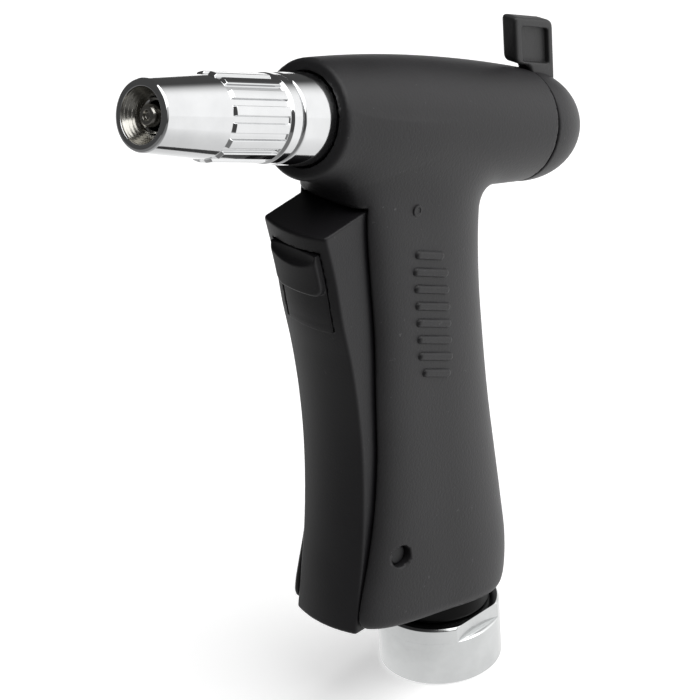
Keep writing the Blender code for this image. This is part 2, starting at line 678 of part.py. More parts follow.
def tongue_outline():
    return (
        (38.9, TONGUE_TOP), (39.9, 134.6), (39.4, 126.0), (37.9, 124.6), (36.9, TONGUE_BOTTOM + 1.0),
        (36.6, TONGUE_BOTTOM), (34.4, TONGUE_BOTTOM), (34.5, 117.0), (35.9, 129.0), (36.9, TONGUE_TOP),
    )


def build_tongue():
    tongue = plate("lock_tongue", tongue_outline(), TONGUE_HALF_WIDTH, PLASTIC)
    hook = (
        (37.5, 132.0), (23.8, 132.0), (22.6, 130.2), (22.6, 127.0), (23.8, 127.0), (24.6, 129.2),
        (36.8, 129.2),
    )
    join(tongue, plate("tongue_hook", hook, 4.0))
    attach(tongue, TONGUE_PIVOT)
    catch = (
        (15.0, 125.5), (15.0, 114.9), (11.4, 114.9), (11.4, 113.3), (16.4, 113.3), (16.4, 125.5),
    )
    plate("latch_catch", catch, 7.0, STEEL)


build_jacket()
build_cap_and_hook()
build_core()
build_rear_plug()
build_spray_pin()
build_sleeve()
build_inlet()
build_valve_housing()
build_outlet_tube()
build_valve_insides()
build_moving_valve()
build_spring()
build_trigger()
build_tongue()
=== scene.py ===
"""Looks of the hose spray gun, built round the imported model.

World Z is the axis of the hose inlet and the nozzle points to +X. Shapes are worked out in
millimetres, and MM turns them into metres where a mesh is made.
"""

import math

import bmesh
import bpy
import numpy as np
from mathutils import Matrix, Vector


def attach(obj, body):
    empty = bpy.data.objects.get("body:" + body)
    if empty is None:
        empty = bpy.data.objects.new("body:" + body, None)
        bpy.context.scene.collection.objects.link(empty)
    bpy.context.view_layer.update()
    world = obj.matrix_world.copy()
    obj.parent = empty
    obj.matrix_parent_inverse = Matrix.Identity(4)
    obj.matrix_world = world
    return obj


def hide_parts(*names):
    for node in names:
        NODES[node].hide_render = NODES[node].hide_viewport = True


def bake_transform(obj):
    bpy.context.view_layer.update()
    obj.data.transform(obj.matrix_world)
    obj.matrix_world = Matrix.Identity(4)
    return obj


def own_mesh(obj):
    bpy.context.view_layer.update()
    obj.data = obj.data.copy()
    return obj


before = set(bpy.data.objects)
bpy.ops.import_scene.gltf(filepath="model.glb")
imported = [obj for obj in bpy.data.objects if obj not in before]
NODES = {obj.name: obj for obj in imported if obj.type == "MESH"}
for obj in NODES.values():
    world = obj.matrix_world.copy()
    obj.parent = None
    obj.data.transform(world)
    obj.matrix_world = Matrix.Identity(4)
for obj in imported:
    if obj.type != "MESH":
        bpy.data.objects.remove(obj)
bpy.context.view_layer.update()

MM = 0.001

# Barrel, in millimetres. A place along its axis is called t, and up is square to it.
BARREL_HEIGHT = 152.9
TILT = math.radians(21.4)
SIN_TILT, COS_TILT = math.sin(TILT), math.cos(TILT)
JACKET_FRONT, JACKET_REAR = 38.0, -39.5
CAP_FACE = -39.8
VALVE_HEIGHT = 90.0
OUTLET_FOOT = (8.5, 0.0, 93.0)
OUTLET_DIRECTION = (-0.2186, 0.0, 0.9758)
PIVOT_X, PIVOT_Z = 26.6, 48.4

# Handle: each pair is a height, and the front edge, rear edge or half width there
FRONT_EDGE = (
    (27.0, 41.0), (31.8, 41.0), (36.2, 40.4), (40.3, 39.2), (47.9, 36.7), (58.0, 33.9),
    (75.0, 31.0), (93.0, 29.9), (110.0, 28.9), (126.9, 29.2), (145.9, 29.6), (161.8, 30.2),
)
REAR_EDGE = (
    (14.0, -14.0), (18.4, -16.8), (21.9, -18.9), (25.8, -19.8), (30.8, -20.2), (43.4, -19.5),
    (58.0, -18.2), (75.0, -16.6), (93.0, -15.6), (110.0, -15.2), (122.4, -16.0), (131.7, -17.6),
    (142.2, -20.0),
)
HALF_WIDTH = (
    (20.0, 15.7), (34.0, 15.7), (45.0, 15.3), (58.0, 14.9), (75.0, 14.6), (93.0, 14.5),
    (124.0, 14.4), (137.0, 14.0), (150.0, 12.0),
)
HANDLE_WIDEST = 8.0
FRONT_SQUARENESS, REAR_SQUARENESS = 5.0, 2.4
HANDLE_BOTTOM, BOTTOM_SLOPE = 21.3, 0.255  # height at x = 0, and rise to the front
BOTTOM_ROUND, BARREL_FILLET = 3.4, 6.0
CORE_SPACE_RADIUS = 11.3

# Spaces inside the jacket. The cavity behind the trigger is an outline of (x, z) points.
CAVITY_HALF_WIDTH, CAVITY_ROUND = 10.6, 1.3
CAVITY = (
    (60.0, 143.4), (11.0, 143.4), (11.0, 113.0), (15.2, 112.0), (17.8, 90.0), (19.6, 66.0),
    (20.1, 48.4), (22.0, 41.2), (28.4, 30.0), (31.0, 20.0), (60.0, 20.0),
)

# Trigger: its front edge by height at the sides, and the rest of its outline
TRIGGER_FRONT = (
    (25.0, 41.2), (32.2, 39.7), (40.0, 38.1), (51.0, 36.0), (65.0, 34.3), (79.0, 33.6),
    (93.0, 34.0), (105.0, 35.2), (117.0, 37.1), (128.0, 38.3), (140.9, 40.6), (150.0, 42.2),
)
TRIGGER_BACK = (
    (52.0, 139.6), (25.3, 142.6), (24.4, 112.0), (23.2, 84.0), (22.0, 60.0), (20.9, 48.4),
    (22.9, 42.0), (29.5, 33.5), (36.0, 30.1), (52.0, 30.1),
)
TRIGGER_HOLLOW = (
    (52.0, 138.6), (5.0, 138.6), (5.0, 28.0), (28.0, 28.0), (34.0, 36.0), (36.5, 43.0), (52.0, 48.0),
)
TRIGGER_HALF_WIDTH, TRIGGER_WALL = 10.3, 2.5
TRIGGER_HOLLOW_HALF_WIDTH = 8.3
PIVOT_BOSS_RADIUS, PIVOT_BOSS_HALF_LENGTH, PIVOT_BORE = 5.2, 9.0, 2.8
CROWN = 1.9  # how far the front stands out in its middle
TONGUE_BOTTOM, TONGUE_TOP = 114.2, 135.8
TONGUE_HALF_WIDTH, TONGUE_THICKNESS, TONGUE_GAP = 7.4, 2.6, 0.35
PAD_BOTTOM, PAD_RISE, PAD_CORNER = 124.2, 1.8, 2.6
SCOOP_HEIGHT, SCOOP_SIZE = 136.6, (2.5, 8.4, 4.6)  # half sizes out, across and up
HINGE_FADE = ((-1.6, 0.25), (-0.6, -0.04), (0.4, -0.04), (1.6, 0.0))  # above the bottom, depth
TONGUE_ARM = ((37.5, 132.0), (23.8, 132.0), (22.6, 130.2), (22.6, 127.0), (23.8, 127.0), (24.6, 129.2),
              (36.8, 129.2))

HOOK = ((-36.0, 168.2), (-49.7, 162.6), (-49.7, 145.8), (-45.4, 144.6), (-41.9, 146.4),
        (-41.0, 153.4), (-36.0, 155.7))
HOOK_POCKET = ((-38.2, 165.0), (-47.8, 161.1), (-47.8, 151.6), (-38.2, 155.6))
HOOK_HALF_WIDTH, HOOK_WEB, HOOK_CORNER, POCKET_CORNER = 2.4, 1.0, 1.8, 0.9
SLOT_GAP = 0.05
CAP_RADIUS, CAP_DEPTH, CAP_WALL = 14.2, 18.8, 3.0


# ---------------------------------------------------------------- fields, negative inside


def smooth_max(a, b, k):
    h = np.maximum(k - np.abs(a - b), 0.0) / k
    return np.maximum(a, b) + h * h * k * 0.25


def smooth_min(a, b, k):
    return -smooth_max(-a, -b, k)


def without(field, space, k=0.4):
    return smooth_max(field, -space, k)


def smooth_curve(points):
    """A smooth function through the points, for arrays."""
    places, values = np.array(points).T
    slopes = np.gradient(values, places)

    def value(q):
        q = np.clip(q, places[0], places[-1])
        i = np.clip(np.searchsorted(places, q, side="right") - 1, 0, len(places) - 2)
        h = places[i + 1] - places[i]
        s = (q - places[i]) / h
        return (
            (2 * s**3 - 3 * s**2 + 1) * values[i] + (s**3 - 2 * s**2 + s) * h * slopes[i]
            + (3 * s**2 - 2 * s**3) * values[i + 1] + (s**3 - s**2) * h * slopes[i + 1]
        )

    return value


def rounded(outline, radius, steps=5):
    """The outline with each corner turned into an arc."""
    corners = [np.array(point) for point in outline]
    result = []
    for i, corner in enumerate(corners):
        before, after = corners[i - 1] - corner, corners[(i + 1) % len(corners)] - corner
        a, b = np.linalg.norm(before), np.linalg.norm(after)
        start = corner + before * min(radius / a, 0.45)
        end = corner + after * min(radius / b, 0.45)
        for step in range(steps + 1):
            k = step / steps
            result.append(tuple((1 - k) ** 2 * start + 2 * k * (1 - k) * corner + k * k * end))
    return result


def prism(outline, x, z):
    """Signed distance to an outline of (x, z) points."""
    points = np.array(outline)
    nearest = np.inf
    crossings = np.zeros(np.broadcast(x, z).shape, int)
    for (ax, az), (bx, bz) in zip(points, np.roll(points, -1, axis=0)):
        ex, ez = bx - ax, bz - az
        s = np.clip(((x - ax) * ex + (z - az) * ez) / (ex * ex + ez * ez), 0.0, 1.0)
        nearest = np.minimum(nearest, (x - ax - s * ex) ** 2 + (z - az - s * ez) ** 2)
        spans = (az > z) != (bz > z)
        height = bz - az if bz != az else 1.0
        crossings = crossings + (spans & (x < ax + (z - az) * ex / height))
    return np.sqrt(nearest) * np.where(crossings % 2 == 1, -1.0, 1.0)


def along_barrel(x, z):
    """The place along the barrel and the height above its axis."""
    rise = z - BARREL_HEIGHT
    return x * COS_TILT + rise * SIN_TILT, rise * COS_TILT - x * SIN_TILT


def bar(x, y, z, foot, direction, radius, start, end):
    """A cylinder between two places on a line."""
    dx, dy, dz = direction
    ox, oy, oz = x - foot[0], y - foot[1], z - foot[2]
    s = ox * dx + oy * dy + oz * dz
    square = np.sqrt(np.maximum((ox - s * dx) ** 2 + (oy - s * dy) ** 2 + (oz - s * dz) ** 2, 1e-12))
    return np.maximum(square - radius, np.maximum(start - s, s - end))


X_AXIS, Y_AXIS, Z_AXIS = (1.0, 0.0, 0.0), (0.0, 1.0, 0.0), (0.0, 0.0, 1.0)
INLET, VALVE, PIVOT = (0.0, 0.0, 0.0), (0.0, 0.0, VALVE_HEIGHT), (PIVOT_X, 0.0, PIVOT_Z)
VALVE_CHAMBER = (VALVE, X_AXIS, 9.0, -12.3, 12.3)
CHAMBER_WALL = 1.1
JACKET_BORES = (  # a foot, a direction, a radius, and the start and end from the foot
    (INLET, Z_AXIS, 13.8, 5.0, 26.3),  # neck ring
    (INLET, Z_AXIS, 5.8, 6.0, 80.0),  # riser tube
    (INLET, Z_AXIS, 8.3, 75.7, 90.0),  # lower boss of the valve housing
    (VALVE, X_AXIS, 5.9, 0.0, 30.0),  # stem gland
    (OUTLET_FOOT, OUTLET_DIRECTION, 5.7, 0.0, 16.3),  # upper boss of the valve housing
    (OUTLET_FOOT, OUTLET_DIRECTION, 4.3, 0.0, 58.0),  # outlet tube
)
front_edge, rear_edge, half_width = map(smooth_curve, (FRONT_EDGE, REAR_EDGE, HALF_WIDTH))
trigger_front = smooth_curve(TRIGGER_FRONT)


def handle_side(x, y, z):
    """The handle's rounded section, squarer in front than behind."""
    u = x - HANDLE_WIDEST
    ahead = u > 0
    reach = np.where(ahead, front_edge(z) - HANDLE_WIDEST, HANDLE_WIDEST - rear_edge(z))
    power = np.where(ahead, FRONT_SQUARENESS, REAR_SQUARENESS)
    g = ((np.abs(u) / reach) ** power + (np.abs(y) / half_width(z)) ** power) ** (1.0 / power)
    out = np.sqrt(u * u + y * y)
    return out - out / np.maximum(g, 1e-6)


def jacket_radius(t):
    return 16.0 - np.where(t > 1.0, 0.0013, 0.0011) * (t - 1.0) ** 2


def jacket(x, y, z):
    t, up = along_barrel(x, z)
    r = np.sqrt(y * y + up * up)
    barrel = smooth_max(r - jacket_radius(t), t - JACKET_FRONT, 1.6)
    barrel = smooth_max(barrel, JACKET_REAR - t, 0.6)
    side = handle_side(x, y, z)
    bottom = (HANDLE_BOTTOM + BOTTOM_SLOPE * x - z) / math.hypot(1.0, BOTTOM_SLOPE)
    handle = np.maximum(smooth_max(side, bottom, BOTTOM_ROUND), up)
    body = smooth_min(barrel, handle, BARREL_FILLET)
    cavity = np.maximum(prism(CAVITY, x, z), np.abs(y) - CAVITY_HALF_WIDTH)
    body = without(body, cavity, CAVITY_ROUND)
    body = without(body, r - CORE_SPACE_RADIUS)
    for bore in JACKET_BORES:
        body = without(body, bar(x, y, z, *bore))
    body = without(body, np.maximum(bar(x, y, z, *VALVE_CHAMBER), side + CHAMBER_WALL), 0.1)
    body = without(body, bar(x, y, z, PIVOT, Y_AXIS, 2.9, -20.0, 20.0), 0.3)
    return without(body, hook_slot(x, y, z), 0.3)


def hook_slot(x, y, z):
    outline = prism(rounded(HOOK, HOOK_CORNER), x, z)
    return np.maximum(outline, np.abs(y) - HOOK_HALF_WIDTH) - SLOT_GAP


def cap(x, y, z):
    t, up = along_barrel(x, z)
    r2 = y * y + up * up
    back = CAP_FACE - t

    def dome(radius, depth):
        g = np.maximum(np.sqrt(r2 / radius**2 + np.maximum(back, 0.0) ** 2 / depth**2), 1e-6)
        out = np.sqrt(r2 + back * back)
        return out - out / g

    body = smooth_max(dome(CAP_RADIUS, CAP_DEPTH), -back, 0.6)
    body = without(body, dome(CAP_RADIUS - CAP_WALL, CAP_DEPTH - CAP_WALL))
    return without(body, hook_slot(x, y, z), 0.3)


def hook(x, y, z):
    body = smooth_max(prism(rounded(HOOK, HOOK_CORNER), x, z), np.abs(y) - HOOK_HALF_WIDTH, 1.0)
    pocket = np.maximum(prism(rounded(HOOK_POCKET, POCKET_CORNER), x, z), HOOK_WEB - np.abs(y))
    return without(body, pocket, 0.5)


def crowned_front(x, y, z):
    """Distance ahead of the trigger's front, which stands out between its side edges."""
    crown = CROWN * (1.0 - np.minimum(np.abs(y) / TRIGGER_HALF_WIDTH, 1.2) ** 2)
    return x - trigger_front(z) - crown


def trigger(x, y, z):
    front = crowned_front(x, y, z)
    body = smooth_max(front, prism(TRIGGER_BACK, x, z), 0.9)
    body = smooth_max(body, np.abs(y) - TRIGGER_HALF_WIDTH, 0.7)
    hollow = np.maximum(prism(TRIGGER_HOLLOW, x, z), np.abs(y) - TRIGGER_HOLLOW_HALF_WIDTH)
    body = without(body, np.maximum(front + TRIGGER_WALL, hollow), 0.6)
    boss = bar(x, y, z, PIVOT, Y_AXIS, PIVOT_BOSS_RADIUS, -PIVOT_BOSS_HALF_LENGTH, PIVOT_BOSS_HALF_LENGTH)
    body = smooth_min(body, boss, 0.8)
    body = without(body, bar(x, y, z, PIVOT, Y_AXIS, PIVOT_BORE, -20.0, 20.0))
    window = np.maximum(np.abs(y) - TONGUE_HALF_WIDTH - TONGUE_GAP, z - TONGUE_TOP - 0.5)
    window = np.maximum(window, np.maximum(TONGUE_BOTTOM - z, 30.0 - x))
    return np.maximum(body, -window)


def tongue(x, y, z):
    front = crowned_front(x, y, z)
    above, depth = np.array(HINGE_FADE).T
    sunk = np.interp(z, TONGUE_BOTTOM + above, depth)
    body = np.maximum(front + sunk, -front - TONGUE_THICKNESS)
    side = smooth_max(np.abs(y) - TONGUE_HALF_WIDTH, z - TONGUE_TOP, 0.6)
    body = smooth_max(body, side, 0.5)
    pad_edge = smooth_max(np.abs(y) - TONGUE_HALF_WIDTH, PAD_BOTTOM - z, PAD_CORNER)
    pad_edge = np.maximum(pad_edge, z - TONGUE_TOP)
    pad = smooth_max(smooth_max(front - PAD_RISE, pad_edge, 0.7), -front - 1.0, 0.5)
    body = smooth_min(body, pad, 0.35)
    out, across, upward = SCOOP_SIZE
    scoop = ((front - 2.3) / out) ** 2 + (y / across) ** 2 + ((z - SCOOP_HEIGHT) / upward) ** 2
    body = without(body, (np.sqrt(scoop) - 1.0) * out, 0.3)
    body = np.maximum(body, TONGUE_BOTTOM - 1.4 - z)
    arm = smooth_max(prism(TONGUE_ARM, x, z), np.abs(y) - 4.0, 0.5)
    arm = np.maximum(arm, front + 1.0)
    return smooth_min(body, arm, 0.6)


# ---------------------------------------------------------------- meshes


def surface_net(field, low, high, step):
    """Points and quads of the surface where the field is zero, by naive surface nets."""
    axes = [np.arange(a - 2 * step, b + 3 * step, step) for a, b in zip(low, high)]
    values = field(*np.meshgrid(*axes, indexing="ij", sparse=True))
    size = np.array(values.shape) - 1
    inside = values < 0
    total = int(np.prod(size))
    count = np.zeros(total)
    sums = np.zeros((3, total))
    edges = []
    for a in range(3):
        first = [slice(None)] * 3
        second = [slice(None)] * 3
        first[a], second[a] = slice(0, -1), slice(1, None)
        v0, v1 = values[tuple(first)], values[tuple(second)]
        i = np.array(np.nonzero(inside[tuple(first)] != inside[tuple(second)]))
        near, far = v0[tuple(i)], v1[tuple(i)]
        place = np.array([axes[n][i[n]] for n in range(3)])
        place[a] += near / (near - far) * step
        b, c = (a + 1) % 3, (a + 2) % 3
        cells = []
        for db, dc in ((-1, -1), (0, -1), (0, 0), (-1, 0)):
            cell = i.copy()
            cell[b] += db
            cell[c] += dc
            flat = (cell[0] * size[1] + cell[1]) * size[2] + cell[2]
            count += np.bincount(flat, minlength=total)
            for n in range(3):
                sums[n] += np.bincount(flat, weights=place[n], minlength=total)
            cells.append(flat)
        cells = np.array(cells).T
        turned_round = near > 0
        cells[turned_round] = cells[turned_round][:, ::-1]
        edges.append(cells)
    used = np.nonzero(count)[0]
    index = np.full(total, -1)
    index[used] = np.arange(len(used))
    points = (sums[:, used] / count[used]).T
    return points, index[np.vstack(edges)]


def gradient(field, points, reach=0.02):
    result = np.empty_like(points)
    for a in range(3):
        offset = np.zeros(3)
        offset[a] = reach
        result[:, a] = (field(*(points + offset).T) - field(*(points - offset).T)) / (2 * reach)
    return result


def mesh_of(name, points, faces, normals=None):
    mesh = bpy.data.meshes.new(name)
    mesh.from_pydata((np.asarray(points) * MM).tolist(), [], [list(map(int, f)) for f in faces])
    mesh.polygons.foreach_set("use_smooth", [True] * len(mesh.polygons))
    if normals is not None:
        mesh.normals_split_custom_set_from_vertices(normals.tolist())
    mesh.update()
    obj = bpy.data.objects.new(name, mesh)
    bpy.context.scene.collection.objects.link(obj)
    return obj


def formed(name, field, low, high, step):
    """A piece whose surface is where the field is zero."""
    points, faces = surface_net(field, low, high, step)
    for _ in range(3):
        slope = gradient(field, points)
        push = field(*points.T)[:, None] * slope / np.maximum((slope**2).sum(1), 0.2)[:, None]
        length = np.linalg.norm(push, axis=1)[:, None]
        points = points - push * np.minimum(1.0, 0.5 * step / np.maximum(length, 1e-9))
    slope = gradient(field, points)
    normals = slope / np.maximum(np.linalg.norm(slope, axis=1), 1e-9)[:, None]
    return mesh_of(name, points, faces, normals)


SMALLEST_ARC, HOLDING = 0.01, 0.1


def corners_rounded(profile, radius, closed, steps=4):
    """The profile with rounded corners, and an extra point just outside each arc to hold it."""
    count = len(profile)
    result = []
    for i, corner in enumerate(np.array(profile, float)):
        if not closed and i in (0, count - 1):
            result.append(tuple(corner))
            continue
        before = np.array(profile[i - 1], float) - corner
        after = np.array(profile[(i + 1) % count], float) - corner
        a, b = np.linalg.norm(before), np.linalg.norm(after)
        size = min(radius, 0.4 * a, 0.4 * b)
        if size < SMALLEST_ARC:
            result.append(tuple(corner))
            continue
        before, after = before / a, after / b
        start, end = corner + before * size, corner + after * size
        result.append(tuple(start + before * min(HOLDING, HOLDING * a)))
        for step in range(steps + 1):
            k = step / steps
            result.append(tuple((1 - k) ** 2 * start + 2 * k * (1 - k) * corner + k * k * end))
        result.append(tuple(end + after * min(HOLDING, HOLDING * b)))
    return result


def turned(name, profile, radius=0.25, angles=96, place=None, closed=True, shape=None):
    """A profile of (radius, height) turned about Z.

    angles is a number of steps, or the angles themselves. shape(angles, radius, height) gives the
    radius at each angle, for a piece that isn't round.
    """
    points = corners_rounded(profile, radius, closed)
    if isinstance(angles, int):
        angles = np.arange(angles) * 2 * math.pi / angles
    rows = []
    coordinates = []
    for r, h in points:
        if r < 1e-6:
            rows.append([len(coordinates)] * len(angles))
            coordinates.append((0.0, 0.0, h))
            continue
        rows.append(list(range(len(coordinates), len(coordinates) + len(angles))))
        radii = shape(angles, r, h) if shape else np.full(len(angles), r)
        coordinates.extend(zip(radii * np.cos(angles), radii * np.sin(angles), [h] * len(angles)))
    faces = []
    pairs = list(zip(rows, rows[1:])) + ([(rows[-1], rows[0])] if closed else [])
    for one, two in pairs:
        for j in range(len(angles)):
            k = (j + 1) % len(angles)
            face = list(dict.fromkeys((one[j], one[k], two[k], two[j])))
            if len(face) > 2:
                faces.append(face)
    obj = mesh_of(name, coordinates, faces)
    bm = bmesh.new()
    bm.from_mesh(obj.data)
    bmesh.ops.recalc_face_normals(bm, faces=bm.faces)
    bm.to_mesh(obj.data)
    bm.free()
    if place is not None:
        obj.data.transform(place)
    return obj


def placed(x, y, z, angle, axis):
    return Matrix.Translation((x * MM, y * MM, z * MM)) @ Matrix.Rotation(angle, 4, axis)


ON_BARREL = placed(0.0, 0.0, BARREL_HEIGHT, math.pi / 2 - TILT, "Y")
ON_PIVOT = placed(PIVOT_X, 0.0, PIVOT_Z, -math.pi / 2, "X")


def finish_piece(obj, body, slot, material, *nodes):
    """Gives the piece its material, rides it on the body and hides the CAD nodes it replaces. The slot is
    not used.
    """
    obj.data.materials.append(material)
    if body:
        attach(obj, body)
    if nodes:
        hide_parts(*nodes)
    return obj


# ---------------------------------------------------------------- materials


def new_material(name, colour, roughness, metallic=0.0):
    material = bpy.data.materials.new(name)
    material.use_nodes = True
    nodes, links = material.node_tree.nodes, material.node_tree.links
    shader = nodes["Principled BSDF"]
    shader.inputs["Base Color"].default_value = (*colour, 1.0)
    shader.inputs["Roughness"].default_value = roughness
    shader.inputs["Metallic"].default_value = metallic
    return material, nodes, links, shader


def add(nodes, kind, **values):
    node = nodes.new(kind)
    for key, value in values.items():
        if hasattr(node, key):
            setattr(node, key, value)
        else:
            node.inputs[key.replace("_", " ").title()].default_value = value
    return node


def noise(nodes, links, scale, detail=3.0, roughness=0.5):
    coordinates = nodes.new("ShaderNodeTexCoord")
    node = add(nodes, "ShaderNodeTexNoise", scale=scale, detail=detail, roughness=roughness)
    links.new(coordinates.outputs["Object"], node.inputs["Vector"])
    return node


def ramp(nodes, links, source, low, high, first, second):
    node = nodes.new("ShaderNodeValToRGB")
    node.color_ramp.elements[0].position = low
    node.color_ramp.elements[1].position = high
    node.color_ramp.elements[0].color = (*first, 1.0)
    node.color_ramp.elements[1].color = (*second, 1.0)
    links.new(source, node.inputs["Fac"])
    return node


def spread(nodes, links, source, low, high, start=0.0, end=1.0):
    """The source's start to end turned into low to high."""
    node = nodes.new("ShaderNodeMapRange")
    node.inputs["From Min"].default_value = start
    node.inputs["From Max"].default_value = end
    node.inputs["To Min"].default_value = low
    node.inputs["To Max"].default_value = high
    links.new(source, node.inputs["Value"])
    return node.outputs["Result"]


def bumped(nodes, links, shader, source, strength, distance):
    node = nodes.new("ShaderNodeBump")
    node.inputs["Strength"].default_value = strength
    node.inputs["Distance"].default_value = distance
    links.new(source, node.inputs["Height"])
    links.new(node.outputs["Normal"], shader.inputs["Normal"])


PATCH_SCALE, DUST_SCALE = 55.0, 620.0
DUST_COLOUR = (0.2, 0.2, 0.2, 1.0)


def moulded(name, dark, light, gloss, roughness, grain_scale, grain, dust):
    """A moulded black surface: fine grain, uneven gloss and a little pale dust."""
    material, nodes, links, shader = new_material(name, dark, roughness[0])
    shader.inputs["Specular IOR Level"].default_value = gloss
    patches = noise(nodes, links, PATCH_SCALE, 4.0, 0.55).outputs["Fac"]
    colours = ramp(nodes, links, patches, 0.3, 0.72, dark, light)
    specks = noise(nodes, links, DUST_SCALE, 2.0, 0.6).outputs["Fac"]
    spots = ramp(nodes, links, specks, 0.71, 0.79, (0.0, 0.0, 0.0), (dust, dust, dust))
    mix = nodes.new("ShaderNodeMix")
    mix.data_type = "RGBA"
    links.new(spots.outputs["Color"], mix.inputs["Factor"])
    links.new(colours.outputs["Color"], mix.inputs["A"])
    mix.inputs["B"].default_value = DUST_COLOUR
    links.new(mix.outputs["Result"], shader.inputs["Base Color"])
    links.new(spread(nodes, links, patches, *roughness), shader.inputs["Roughness"])
    fine = noise(nodes, links, grain_scale, 2.0, 0.5).outputs["Fac"]
    bumped(nodes, links, shader, fine, grain, 0.2 * MM)
    return material


def metal(name, colour, shade, roughness, wave_scale, wave):
    """A bare or plated metal, with slight marks and unevenness."""
    material, nodes, links, shader = new_material(name, colour, roughness[0], 1.0)
    patches = noise(nodes, links, 90.0, 5.0, 0.6).outputs["Fac"]
    colours = ramp(nodes, links, patches, 0.25, 0.75, shade, colour)
    links.new(colours.outputs["Color"], shader.inputs["Base Color"])
    links.new(spread(nodes, links, patches, *roughness), shader.inputs["Roughness"])
    waves = noise(nodes, links, wave_scale, 2.0, 0.5).outputs["Fac"]
    bumped(nodes, links, shader, waves, wave, 0.1 * MM)
    return material


# Name, darkest and lightest colour, gloss, roughness range, grain's scale and depth, dust
RUBBER = moulded(
    "jacket_rubber", (0.012, 0.0115, 0.0125), (0.018, 0.0175, 0.019), 0.36, (0.42, 0.54), 1500.0, 0.3, 0.2,
)
# A lighter copy of the jacket's black rubber for the hook: painted light for the brighter light falling on
# the hook's side
HOOK_RUBBER_PAINTED_LIGHT = moulded(
    "hook_rubber_painted_light", (0.022, 0.022, 0.0225), (0.03, 0.03, 0.0305), 0.45, (0.44, 0.56), 1500.0, 0.3, 0.1,
)
PLASTIC = moulded(
    "trigger_plastic", (0.01, 0.0095, 0.011), (0.015, 0.0145, 0.016), 0.3, (0.34, 0.44), 2300.0, 0.18, 0.12,
)
# The neck ring's black plastic, made darker and duller than the trigger's as painted shade for the shadow
# under the handle
RING_PLASTIC_PAINTED_SHADE = moulded(
    "ring_plastic_painted_shade", (0.003, 0.003, 0.003), (0.006, 0.006, 0.006), 0.08, (0.3, 0.4), 2300.0, 0.12, 0.05,
)
PIN_BLACK = moulded(
    "pin_black", (0.012, 0.012, 0.013), (0.018, 0.018, 0.019), 0.3, (0.4, 0.5), 2300.0, 0.15, 0.1,
)
SEAL = moulded(
    "seal_rubber_black", (0.018, 0.018, 0.018), (0.03, 0.03, 0.03), 0.4, (0.6, 0.75), 1800.0, 0.3, 0.1,
)

# Name, lightest and darkest colour, roughness range, scale and depth of the waves
CHROME = metal("polished_chrome", (0.68, 0.685, 0.69), (0.6, 0.605, 0.61), (0.05, 0.1), 260.0, 0.06)
SATIN = metal("satin_chrome_plate", (0.7, 0.71, 0.71), (0.58, 0.59, 0.59), (0.14, 0.24), 500.0, 0.12)
TURNED = metal("turned_metal", (0.46, 0.45, 0.42), (0.36, 0.35, 0.32), (0.16, 0.26), 900.0, 0.15)
STEEL = metal("plain_steel", (0.6, 0.6, 0.61), (0.5, 0.5, 0.5), (0.24, 0.36), 700.0, 0.2)
BRASS = metal("machined_brass", (0.7, 0.52, 0.26), (0.6, 0.43, 0.2), (0.22, 0.34), 700.0, 0.2)


# ---------------------------------------------------------------- jacket, cap, hook


finish_piece(
    formed("jacket_skin", jacket, (-42.0, -16.5, 14.0), (41.5, 16.5, 184.0), 0.72),
    "gun_body", "black_rubber", RUBBER, "rubber_jacket",
)
finish_piece(
    formed("cap_skin", cap, (-60.5, -14.5, 116.0), (-29.0, 14.5, 155.0), 0.5),
    "gun_body", "black_rubber", RUBBER, "rear_cap",
)
# The hook wears the lighter copy of the black rubber, painted light
finish_piece(
    formed("hook_skin", hook, (-50.0, -2.6, 144.0), (-35.0, 2.6, 169.0), 0.3),
    "gun_body", "black_rubber", HOOK_RUBBER_PAINTED_LIGHT, "hanging_hook",
)


# ---------------------------------------------------------------- trigger and tongue


finish_piece(
    formed("trigger_skin", trigger, (20.0, -10.5, 29.0), (43.5, 10.5, 143.5), 0.42),
    "trigger", "black_plastic", PLASTIC, "trigger_lever",
)
tongue_skin = formed("tongue_skin", tongue, (22.0, -7.6, 112.0), (44.5, 7.6, 136.5), 0.26)
finish_piece(tongue_skin, None, "black_plastic", PLASTIC, "lock_tongue")
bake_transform(tongue_skin)


# ---------------------------------------------------------------- barrel metalwork


# Radii and stations along the barrel's axis. A ridge's wall runs from RIDGE_HALF to WALL_END.
RIDGES = 16
RIDGE_HALF, WALL_END = 1.02, 1.36
GRIP_TOP, GRIP_FLOOR, FLANGE, NECK = 10.33, 9.6, 10.5, 9.9
GROOVE_REAR, GROOVE_FRONT = 52.3, 70.5
PITCH = 2 * math.pi * GRIP_TOP / RIDGES
CUP_FLOOR, CUP_RIM = (4.0, 85.7), (6.3, 89.5)
CUP_STEPS, CUP_WAVES, CUP_WAVE_HEIGHT = 32, 5, 0.007
HALF_SAMPLES = (0.0, 0.5, 0.9, 1.0, 1.06, 1.13, 1.2, 1.27, 1.33, 1.4, 1.55, 1.8)


def ridge_angles():
    """Angles that crowd at the walls of every ridge."""
    offsets = sorted({sign * s for s in HALF_SAMPLES for sign in (-1.0, 1.0)} | {PITCH / 2})
    return np.array([(i * PITCH + o) / GRIP_TOP for i in range(RIDGES) for o in offsets])


def fluted(angle, r, t):
    """The sleeve's radius, lower between the ridges of its grip."""
    if r < 9.0 or not GROOVE_REAR < t < GROOVE_FRONT + 0.4:
        return np.full(len(angle), r)
    across = np.abs((angle * GRIP_TOP + PITCH / 2) % PITCH - PITCH / 2)
    k = np.clip((across - RIDGE_HALF) / (WALL_END - RIDGE_HALF), 0.0, 1.0)
    groove = k * k * (3 - 2 * k) * np.clip((t - GROOVE_REAR) / 0.35, 0.0, 1.0)
    return r - groove * max(r - GRIP_FLOOR, 0.0)


